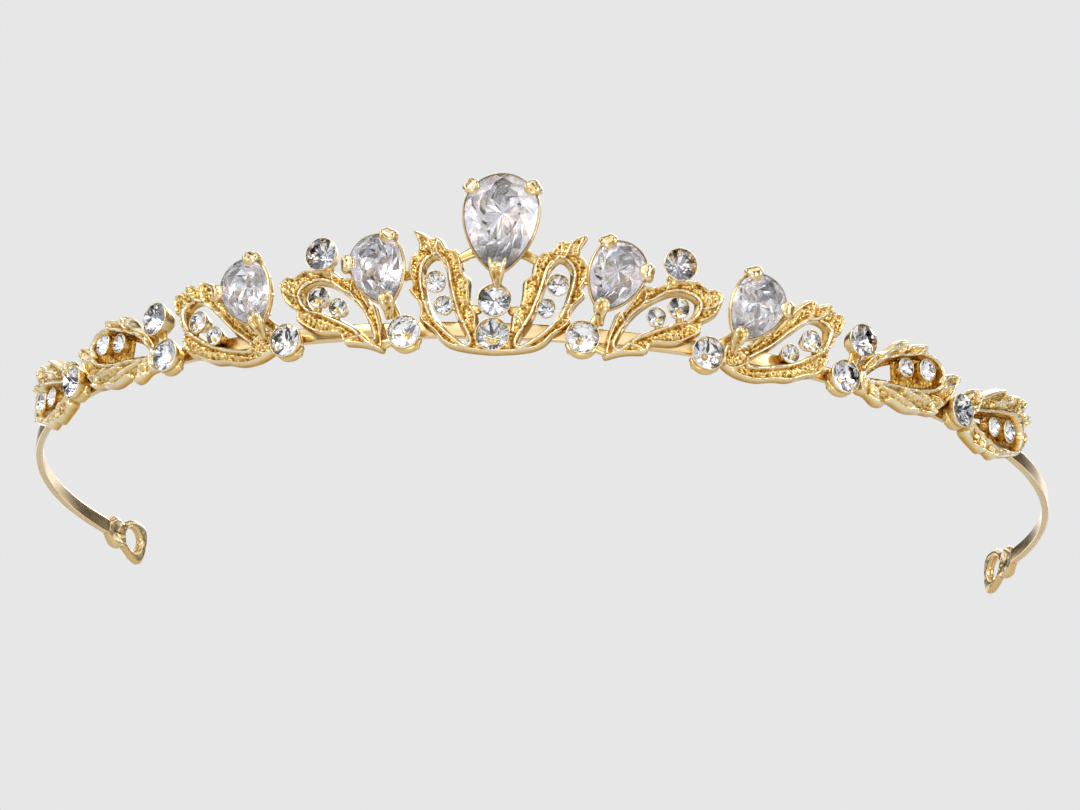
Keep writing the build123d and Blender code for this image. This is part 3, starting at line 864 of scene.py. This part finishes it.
def fresh(name, inputs):
    """A node material, its tree, and its shader, which has those values and is joined to the output."""
    material = bpy.data.materials.new(name)
    material.use_nodes = True
    tree = material.node_tree
    tree.nodes.clear()
    shader = node_of(tree, "ShaderNodeBsdfPrincipled", inputs)
    end = node_of(tree, "ShaderNodeOutputMaterial")
    tree.links.new(shader.outputs["BSDF"], end.inputs["Surface"])
    return material, tree, shader


def ramp(tree, value, stops):
    """The colour that a value gets from a row of stops."""
    node = node_of(tree, "ShaderNodeValToRGB")
    elements = node.color_ramp.elements
    while len(elements) < len(stops):
        elements.new(0.5)
    for element, (position, colour) in zip(elements, stops):
        element.position = position
        element.color = (*colour, 1.0)
    tree.links.new(value, node.inputs["Fac"])
    return node.outputs["Color"]


def cloud(tree, scale, detail=2.0, stretch=(1, 1, 1)):
    """Noise in the object's own coordinates, which stretch squeezes."""
    way = node_of(tree, "ShaderNodeTexCoord")
    squeeze = node_of(tree, "ShaderNodeMapping", {"Scale": stretch})
    texture = node_of(tree, "ShaderNodeTexNoise", {"Scale": scale, "Detail": detail})
    tree.links.new(way.outputs["Object"], squeeze.inputs["Vector"])
    tree.links.new(squeeze.outputs["Vector"], texture.inputs["Vector"])
    return texture.outputs["Fac"]


def between(tree, value, low, high, start=0.0, stop=1.0):
    """A value's range from start to stop, taken to the range from low to high."""
    inputs = {"From Min": start, "From Max": stop, "To Min": low, "To Max": high}
    node = node_of(tree, "ShaderNodeMapRange", inputs)
    tree.links.new(value, node.inputs["Value"])
    return node.outputs["Result"]


PATCH_SCALE = 420.0
PATCH_SHIFT = 0.32  # how far patches of tarnish move the relief value, half of it each way
DENT_DEPTH = 0.00006
WEAR_SCALE = 900.0
FOIL_SCALE = 1500.0


def gold(name, stops, low, high, bump, grain, stretch=(1, 1, 1)):
    """Plated metal: painted shade, amber, in its recesses, painted highlights, pale, on its crests, with an
    uneven polish.
    """
    material, tree, shader = fresh(name, {"Metallic": 1.0})
    link = tree.links.new
    patchy, fine = cloud(tree, PATCH_SCALE, 3.0, stretch), cloud(tree, grain, 4.0, stretch)
    height = node_of(tree, "ShaderNodeAttribute", attribute_name="relief")
    shift = node_of(tree, "ShaderNodeMath", {1: PATCH_SHIFT}, operation="MULTIPLY_ADD")
    link(patchy, shift.inputs[0])
    link(height.outputs["Fac"], shift.inputs[2])
    settle = node_of(tree, "ShaderNodeMath", {1: PATCH_SHIFT / 2}, operation="SUBTRACT")
    link(shift.outputs[0], settle.inputs[0])
    link(ramp(tree, settle.outputs[0], stops), shader.inputs["Base Color"])
    link(between(tree, fine, low, high, 0.3, 0.7), shader.inputs["Roughness"])
    dents = node_of(tree, "ShaderNodeBump", {"Strength": bump, "Distance": DENT_DEPTH})
    link(fine, dents.inputs["Height"])
    link(dents.outputs["Normal"], shader.inputs["Normal"])
    return material


def glass(name, index, rough, tint):
    """The clear part of a stone, with faint wear on its facets."""
    material, tree, shader = fresh(name, {"Transmission Weight": 1.0, "IOR": index})
    wear = cloud(tree, WEAR_SCALE)
    tree.links.new(between(tree, wear, rough, rough + 0.05, 0.55, 0.8), shader.inputs["Roughness"])
    tree.links.new(ramp(tree, wear, [(0.3, tint), (0.7, (1.0, 1.0, 1.0))]), shader.inputs["Base Color"])
    return material


def foil(name, rough):
    """The silvered back of a stone: each facet has its own brightness, a painted reflection."""
    material, tree, shader = fresh(name, {"Metallic": 1.0})
    facet = node_of(tree, "ShaderNodeAttribute", attribute_name="relief")
    tree.links.new(facet.outputs["Color"], shader.inputs["Base Color"])
    tree.links.new(between(tree, cloud(tree, FOIL_SCALE), rough, rough + 0.12), shader.inputs["Roughness"])
    return material


# Each ramp runs from painted shade, dark amber, at relief value 0 to a painted highlight, pale gold, at 1.
CAST_GOLD = gold(
    "cast_gold",
    [(0, (0.16, 0.065, 0.01)), (0.3, (0.56, 0.32, 0.06)), (0.62, (0.76, 0.57, 0.25)), (1, (0.85, 0.74, 0.5))],
    0.12, 0.3, 0.22, 4200.0,
)
CLAW_GOLD = gold(
    "claw_gold",
    [(0, (0.1, 0.05, 0.01)), (0.3, (0.56, 0.33, 0.08)), (0.62, (0.77, 0.58, 0.27)), (1, (0.84, 0.73, 0.48))],
    0.1, 0.24, 0.15, 3200.0,
)
BAND_GOLD = gold(
    "band_gold",
    [(0, (0.32, 0.15, 0.02)), (0.4, (0.58, 0.37, 0.12)), (0.8, (0.74, 0.53, 0.25)), (1, (0.83, 0.67, 0.39))],
    0.18, 0.26, 0.02, 1400.0, stretch=(0.25, 0.25, 2.2),
)
ROUND_GLASS = glass("round_glass", 1.52, 0.0, (0.97, 0.98, 1.0))
ROUND_FOIL = foil("round_foil", 0.02)
PEAR_GLASS = glass("pear_glass", 1.72, 0.01, (0.96, 0.95, 1.0))
PEAR_FOIL = foil("pear_foil", 0.2)

# ---------------------------------------------------------------- castings
ARM_N = 1.35  # middle of a casting's bars
FOOT = (0.0, -2.0)
WEB_STEP = 0.16
WEB_N = 1.05


def web(shell, loop, opening, seed):
    """The thin pitted sheet that closes the outer part of a loop."""
    border, hole = outline([loop]), outline(opening)
    flat, faces = triangles(border, [hole], WEB_STEP)
    pitted = grains(flat, border, seed)
    top = WEB_N + 0.08 * pitted - 0.2 * ridge(distance(flat, hole), 0.15)
    front = wrap(np.column_stack([flat, top]))
    back = wrap(np.column_stack([flat, np.full(len(flat), PLATE_BACK + 0.02)]))
    # Painted shade: the sunken web is darker than the leaves, and darkest in its pits.
    values = np.concatenate([0.3 + 0.2 * pitted, np.full(len(flat), 0.4)])
    shell.add(np.concatenate([front, back]), slab(faces, len(flat)), values)


def arm(shell, ends, seed, wide=(0.5, 0.42, 0.5)):
    """One of a casting's bars, with a faint hollow along its front."""
    (s0, h0), (s1, h1), width = ends
    middle = ((s0 + s1) / 2, (h0 + h1) / 2, ARM_N + 0.15)
    share = width / 1.2
    path = [(s0, h0, ARM_N), middle, (s1, h1, ARM_N)]
    limb(shell, path, [w * share * 1.3 for w in wide], [0.62, 0.5, 0.62], crease=0.25, value=0.62, seed=seed)


def flange(s, h):
    """The path of the low rim under a base cup, from its left round below it to its right."""
    turns = [math.radians(a) for a in range(-165, -14, 30)]
    return [(s + (ROUND_R - 0.05) * math.cos(a), h + (ROUND_R - 0.05) * math.sin(a), 1.45) for a in turns]


def leaf(index):
    """A leaf casting: the plate, its loop, its bars and its cups."""
    shell = Shell()
    base = BASE_STONES[index]
    border = outline(LEAVES[index])
    work = BOLD_WORK if index in WEB_OPENINGS else FINE_WORK
    relief(shell, border, [outline([LOOPS[index]])], base, 11 + index, work, SWEPT_RIBS.get(index, ()))
    if index in WEB_OPENINGS:
        web(shell, LOOPS[index], WEB_OPENINGS[index], seed=31 + index)
    lug = tuple((base[0] + x, base[1] + y) for x, y in LUG_ENDS)
    for number, ends in enumerate(BARS[index]):
        arm(shell, ends, seed=number)
    arm(shell, (*lug, LUG_WIDTH), seed=9, wide=(1.1, 0.85, 0.3))
    widths, depths = [0.2, 0.42, 0.46, 0.42, 0.2], [0.3, 0.75, 0.8, 0.75, 0.3]
    limb(shell, flange(*base), widths, depths, value=0.6, seed=index)
    rounds = [base] + ([UPPER_STONES[index]] if index in UPPER_STONES else [])
    for number, at in enumerate(rounds):
        cup(shell, *at, ROUND_R, ROUND_N, seed=number)
    for number, (at, radius) in enumerate(zip(LOOP_STONES[index], LOOP_R)):
        cup(shell, *at, radius, LOOP_N, seed=number + 4)
    if index == 0:
        top = UPPER_STONES[0]
        path = [(22.6, 7.6, 1.5), (23.0, 8.6, 1.7), (top[0], top[1] - 0.6, 1.5)]
        limb(shell, path, [1.25, 0.95, 1.3], [0.7, 0.6, 0.7], crease=0.15, value=0.6, seed=9)
    return shell


def centre():
    """The centre casting: two leaves that spread from one foot, their bars, and all its cups."""
    shell = Shell()
    flip = np.array([-1.0, 1.0])
    side = outline(CENTRE_LEAF)
    side = side[side[:, 0] > 0.05]
    border = np.concatenate([[CENTRE_LEAF[0][0]], side, [CENTRE_LEAF[-1][-1]], side[::-1] * flip])
    loop = outline([CENTRE_LOOP])
    relief(shell, border, [loop, loop[::-1] * flip], FOOT, seed=5)
    half = Shell()
    for number, ends in enumerate(CENTRE_BARS):
        arm(half, ends, seed=number, wide=(0.45, 0.5, 0.72))
    for number, (at, radius) in enumerate(zip(CENTRE_LOOP_STONES, LOOP_R)):
        cup(half, *at, radius, LOOP_N, seed=number)
    for part in (half, half.mirrored()):
        shell.add(part.points, part.faces, part.relief)
    for number, at in enumerate(CENTRE_STONES):
        cup(shell, *at, ROUND_R, ROUND_N, seed=number + 2)
    stem = [(0, 4.6, ARM_N), (0, 7, ARM_N + 0.2), (0, 9, ARM_N)]
    limb(shell, stem, [0.7, 0.55, 0.7], [0.6, 0.5, 0.6], value=0.6)
    return shell


# ---------------------------------------------------------------- pear settings
CLAW_CREASE = 0.3
TIP_PITS = 5
RAIL_POINTS = 72
STRUTS = 9


def claw(shell, place, angle, size, girdle, width, seed, fold, pits):
    """A claw that climbs outside the stone, folds over its edge and ends in a rounded head."""
    reach = size[0] / 2 + 0.3
    a = math.radians(angle)
    out = np.array([math.cos(a), math.sin(a), 0.0])
    across = np.array([-math.sin(a), math.cos(a), 0.0])
    steps = [(0.82, 1.5), (0.95, girdle - 0.9), (1.04, girdle), (1.02, girdle + 0.6)]
    path = [out * reach * share + np.array([0, 0, z]) for share, z in steps]
    path.append(out * (reach - 0.5 * fold) + np.array([0, 0, girdle + 1.02]))
    path.append(out * (reach - 1.4 * fold) + np.array([0, 0, girdle + 0.95]))
    widths = [0.5 * width, 0.55 * width, 0.75 * width, 0.95 * width, width, 0.85 * width]
    depths = [0.42, 0.42, 0.55, 0.68, 0.66, 0.5]
    limb(shell, path, widths, depths, CLAW_SIDES, CLAW_CREASE, 0.85, seed, place, across, pits)


def tip_claw(shell, place, size, girdle, seed, drop, horns):
    """The broad pitted claw at the stone's tip, on a neck from below. Horns draw it out to a V."""
    tip = size[1] - size[0] / 2
    path = [
        (drop[0], -tip - drop[1], girdle - 1.6), (drop[0] * 0.4, -tip - 0.55, girdle - 0.6),
        (0.0, -tip + 0.1, girdle + 0.55), (0.0, -tip + 0.9, girdle + 1.0), (0.0, -tip + 1.7, girdle + 0.95),
    ]
    widths = [0.5, 0.65, 0.9, 1.1, 1.1]
    depths = [0.5, 0.58, 0.72, 0.7, 0.5]
    limb(shell, path, widths, depths, CLAW_SIDES, 0.7, 0.85, seed, place, (1, 0, 0), TIP_PITS)
    if horns:
        for side in (1, -1):
            horn = [
                (side * 0.5, -tip + 0.2, girdle + 1.05), (side * 0.85, -tip + 1.3, girdle + 1.15),
                (side * 1.12, -tip + 2.3, girdle + 0.95),
            ]
            widths, depths = [0.36, 0.38, 0.16], [0.3, 0.34, 0.16]
            limb(shell, horn, widths, depths, value=0.95, seed=side, place=place, across=(1, 0, 0))


def setting(number):
    """An open basket of two rails and struts, with its claws."""
    (s, h), lean, girdle, size, angles = PEARS[number]
    place = station(s, h, 0, turn=-lean)
    shell = Shell()
    loop = np.array([pear_point(k / RAIL_POINTS, *size) for k in range(RAIL_POINTS)])
    for scale, z, radius in ((0.84, 2.45, 0.34), (0.985, girdle - 0.28, 0.27)):
        rail(shell, np.column_stack([loop * scale, np.full(RAIL_POINTS, z)]), radius, place)
    for k in range(STRUTS):
        x, y = pear_point((k + 0.5) / STRUTS, *size)
        steps = ((0.83, 1.9), (0.91, (girdle + 2.2) / 2), (0.985, girdle - 0.2))
        path = [(x * share, y * share, z) for share, z in steps]
        limb(shell, path, [0.32, 0.26, 0.32], [0.3, 0.26, 0.3], 12, value=0.5, place=place, across=(-y, x, 0))
    middle = number == 0
    for k, angle in enumerate(angles):
        fold, width = (1.1, 1.12) if middle else (1.05, 1.2)
        claw(shell, place, angle, size, girdle, width, 3 * number + k, fold, 2 + k)
    tip_claw(shell, place, size, girdle, 17 + number, (0.0, 1.3) if middle else (0.9, 1.2), middle)
    return shell


# ---------------------------------------------------------------- band and end loops
END_TAPER = 2.4  # how far the strip thins where it runs into an end loop


BAND_CORNER = 0.28
BAND_STEPS = 560


def headband():
    """The strip, with rounded edges and ends that thin out inside the end loops."""
    flat_t, flat_w = BAND_T / 2 - BAND_CORNER, BAND_W / 2 - BAND_CORNER
    section = []
    for cx, cy, start in ((1, 1, 0), (-1, 1, 90), (-1, -1, 180), (1, -1, 270)):
        for k in range(6):
            a = math.radians(start + 18 * k)
            section.append((cx * flat_t + BAND_CORNER * math.cos(a), cy * flat_w + BAND_CORNER * math.sin(a)))
    points, values = [], []
    for i in range(BAND_STEPS + 1):
        s = BAND_R * ARM_ANGLE * (2 * i / BAND_STEPS - 1)
        left = BAND_R * ARM_ANGLE - abs(s)
        thin = min(1.0, 0.45 + 0.55 * left / END_TAPER)
        for n, h in section:
            points.append((s, h * (0.6 + 0.4 * thin), n * thin))
            # Painted highlight along the strip's rounded upper and lower edges.
            values.append(0.9 if abs(h) > BAND_W / 2 - 0.3 else 0.62)
    shell = Shell()
    shell.add(wrap(points), skin(BAND_STEPS + 1, len(section)), values)
    return shell


EYE_AHEAD = 4.8  # from the strip's end to the middle of the eye
EYE_HOLE = (2.05, 1.6)
# The end loop's outline, x along the strip from its end: a small upper lobe, the eye with its straight outer
# side and blunt lower corner, and a longer lower lobe.
END_OUTLINE = [
    (-2.4, 0.95), (-1.6, 1.2), (-0.7, 1.95), (0.3, 2.1), (1.4, 1.7), (2.6, 2.1), (4.3, 2.8), (6.2, 2.95),
    (7.9, 2.5), (8.6, 1.3), (8.5, -0.4), (8.0, -2.2), (7.0, -3.2), (5.3, -3.1), (3.7, -2.4), (2.4, -2.0),
    (1.2, -2.4), (-0.1, -2.45), (-1.4, -1.7), (-2.4, -0.95),
]


def end_loop():
    """A pierced, domed eye with two small lobes that clasp the strip's end."""
    shell = Shell()
    place = station(BAND_R * ARM_ANGLE, 0, 0.1)
    border = np.array(smooth_line(END_OUTLINE, 0.2))
    turns = np.linspace(0, 2 * math.pi, 49)[:-1]
    hole = np.column_stack([EYE_AHEAD + EYE_HOLE[0] * np.cos(turns), EYE_HOLE[1] * np.sin(turns)])
    pillow(shell, border, [hole], place)
    return shell


# ---------------------------------------------------------------- assembly
def both(shell, name, materials, slot, smooth=True):
    """The right piece, and its mirror image on the left."""
    shell.build(name.replace("SIDE", "right"), materials, slot, smooth)
    shell.mirrored().build(name.replace("SIDE", "left"), materials, slot, smooth)


ROUND_MAINS = 8


def round_gem(s, h, radius, girdle, seed):
    """A round stone, turned about its axis by chance."""
    shell = Shell()

    def edge(t):
        a = 2 * math.pi * t
        return radius * math.cos(a), radius * math.sin(a)

    turn = random.Random(seed).uniform(0, 45)
    rings = [(0.3, 1 - 0.3 * math.cos(math.pi / 8), 0.0)]
    place = station(s, h, girdle, turn)
    crown, depth = ROUND_CROWN * radius, ROUND_PAVILION * radius
    brilliant(shell, place, edge, ROUND_MAINS, crown, depth, rings, ROUND_REFLECTIONS, seed)
    return shell


def pear_gem(number):
    """A pear stone, with more facets on the large one."""
    (s, h), lean, girdle, size, _ = PEARS[number]
    shell = Shell()
    rings = [(0.8, 0.26, 0.12), (0.62, 0.48, 0.2), (0.42, 0.68, 0.2), (0.2, 0.87, 0.14)]
    mains = 13 if number == 0 else 11
    place = station(s, h, girdle, turn=-lean)
    crown, depth = PEAR_CROWN * size[0], PEAR_PAVILION * size[0]

    def edge(t):
        return pear_point(t, *size)

    brilliant(shell, place, edge, mains, crown, depth, rings, PEAR_REFLECTIONS, 40 + number)
    return shell


ROUND_LOOK = [ROUND_GLASS, ROUND_FOIL]
PEAR_LOOK = [PEAR_GLASS, PEAR_FOIL]
headband().build("headband", [BAND_GOLD], "band_metal")
both(end_loop(), "end_loop_SIDE", [BAND_GOLD], "band_metal")
centre().build("casting_centre", [CAST_GOLD], "cast_metal")
for index in range(len(LEAVES)):
    both(leaf(index), f"casting_SIDE_{index + 1}", [CAST_GOLD], "cast_metal")
setting(0).build("pear_setting_centre", [CLAW_GOLD], "claw_metal")
pear_gem(0).build("pear_stone_centre", PEAR_LOOK, "pear_stone", False)
for number in range(1, len(PEARS)):
    both(setting(number), f"pear_setting_SIDE_{number}", [CLAW_GOLD], "claw_metal")
    both(pear_gem(number), f"pear_stone_SIDE_{number}", PEAR_LOOK, "pear_stone", False)
for number, (at, name) in enumerate(zip(CENTRE_STONES, ("base_stone_centre", "upper_stone_centre"))):
    round_gem(*at, ROUND_R, ROUND_N, 60 + number).build(name, ROUND_LOOK, "round_stone", False)
for number, at in enumerate(BASE_STONES, start=1):
    gem = round_gem(*at, ROUND_R, ROUND_N, 70 + number)
    both(gem, f"base_stone_SIDE_{number}", ROUND_LOOK, "round_stone", False)
for index, at in UPPER_STONES.items():
    gem = round_gem(*at, ROUND_R, ROUND_N, 80 + index)
    both(gem, f"upper_stone_SIDE_{index + 1}", ROUND_LOOK, "round_stone", False)
for number, stones in enumerate([CENTRE_LOOP_STONES] + LOOP_STONES):
    for at, radius, word in zip(stones, LOOP_R, ("large", "small")):
        gem = round_gem(*at, radius, LOOP_N, 90 + 2 * number + (word == "small"))
        both(gem, f"loop_stone_SIDE_{number}_{word}", ROUND_LOOK, "round_stone", False)

# ---------------------------------------------------------------- floor, light and camera
FLOOR_Z = -0.6
FLOOR_HALF = 6.0
floor_mesh = bpy.data.meshes.new("floor")
corners = [(x * FLOOR_HALF, y * FLOOR_HALF, FLOOR_Z) for x, y in ((-1, -1), (1, -1), (1, 1), (-1, 1))]
floor_mesh.from_pydata(corners, [], [(0, 1, 2, 3)])
floor = bpy.data.objects.new("floor", floor_mesh)
bpy.context.scene.collection.objects.link(floor)
floor_material, floor_tree, floor_shader = fresh("floor", {"Roughness": 0.7})
floor_noise = node_of(floor_tree, "ShaderNodeTexNoise", {"Scale": 3.0})
floor_tones = [(0.3, (0.76, 0.755, 0.75)), (0.7, (0.8, 0.795, 0.79))]
floor_tone = ramp(floor_tree, floor_noise.outputs["Fac"], floor_tones)
floor_tree.links.new(floor_tone, floor_shader.inputs["Base Color"])
floor_mesh.materials.append(floor_material)


LIT = Vector((0, 0, 0.01))  # what every lamp points at


def softbox(name, place, size, power, colour):
    """A soft rectangular studio lamp."""
    data = bpy.data.lights.new(name, "AREA")
    data.shape = "RECTANGLE"
    data.size, data.size_y = size
    data.energy = power
    data.color = colour
    lamp = bpy.data.objects.new(name, data)
    lamp.location = place
    lamp.rotation_mode = "QUATERNION"
    lamp.rotation_quaternion = (LIT - Vector(place)).to_track_quat("-Z", "Y")
    bpy.context.scene.collection.objects.link(lamp)


softbox("key", (-0.5, -0.9, 0.7), (0.5, 0.5), 4.0, (1.0, 0.98, 0.95))
softbox("side", (0.9, -0.5, 0.25), (0.25, 0.6), 2.0, (0.96, 0.98, 1.0))
softbox("low", (0.1, -0.9, -0.5), (0.5, 0.2), 1.2, (1.0, 0.97, 0.92))
softbox("back", (0.2, 0.9, 0.6), (0.6, 0.3), 2.5, (1.0, 1.0, 1.0))

# A plain pale studio. What the metal and the stones mirror has soft darker parts, as a room has.
world = bpy.data.worlds.new("studio")
bpy.context.scene.world = world
world.use_nodes = True
sky = world.node_tree
sky.nodes.clear()
sky_end = node_of(sky, "ShaderNodeOutputWorld")
plain = node_of(sky, "ShaderNodeBackground", {"Color": (0.8, 0.8, 0.8, 1.0)})
room = node_of(sky, "ShaderNodeBackground")
seen, choose = node_of(sky, "ShaderNodeLightPath"), node_of(sky, "ShaderNodeMixShader")
way = node_of(sky, "ShaderNodeTexCoord")
blots = node_of(sky, "ShaderNodeTexNoise", {"W": 4.6, "Scale": 2.6, "Detail": 1.5}, noise_dimensions="4D")
sky.links.new(way.outputs["Generated"], blots.inputs["Vector"])
shades = ramp(sky, blots.outputs["Fac"], [(0.41, (0.05, 0.045, 0.04)), (0.52, (1.4, 1.4, 1.43))])
sky.links.new(shades, room.inputs["Color"])
sky.links.new(seen.outputs["Is Camera Ray"], choose.inputs["Fac"])
sky.links.new(room.outputs["Background"], choose.inputs[1])
sky.links.new(plain.outputs["Background"], choose.inputs[2])
sky.links.new(choose.outputs["Shader"], sky_end.inputs["Surface"])

bpy.context.scene.view_settings.view_transform = "Standard"

CAMERA_AT = (0.09834, -0.91279, -0.27828)
LENS = 231.3
# The camera's aim and its upright, as directions.
AHEAD = Vector((-0.10092, 0.94880, 0.29932))
UPRIGHT = Vector((-0.03122, -0.30372, 0.95225))
camera_data = bpy.data.cameras.new("camera")
camera_data.lens = LENS
camera_data.sensor_width = 36.0
camera_data.clip_start, camera_data.clip_end = 0.05, 50.0
camera = bpy.data.objects.new("camera", camera_data)
back = -AHEAD.normalized()
right = UPRIGHT.cross(back).normalized()
up = back.cross(right)
camera.matrix_world = Matrix.Translation(CAMERA_AT) @ Matrix((right, up, back)).transposed().to_4x4()
bpy.context.scene.collection.objects.link(camera)
bpy.context.scene.camera = camera
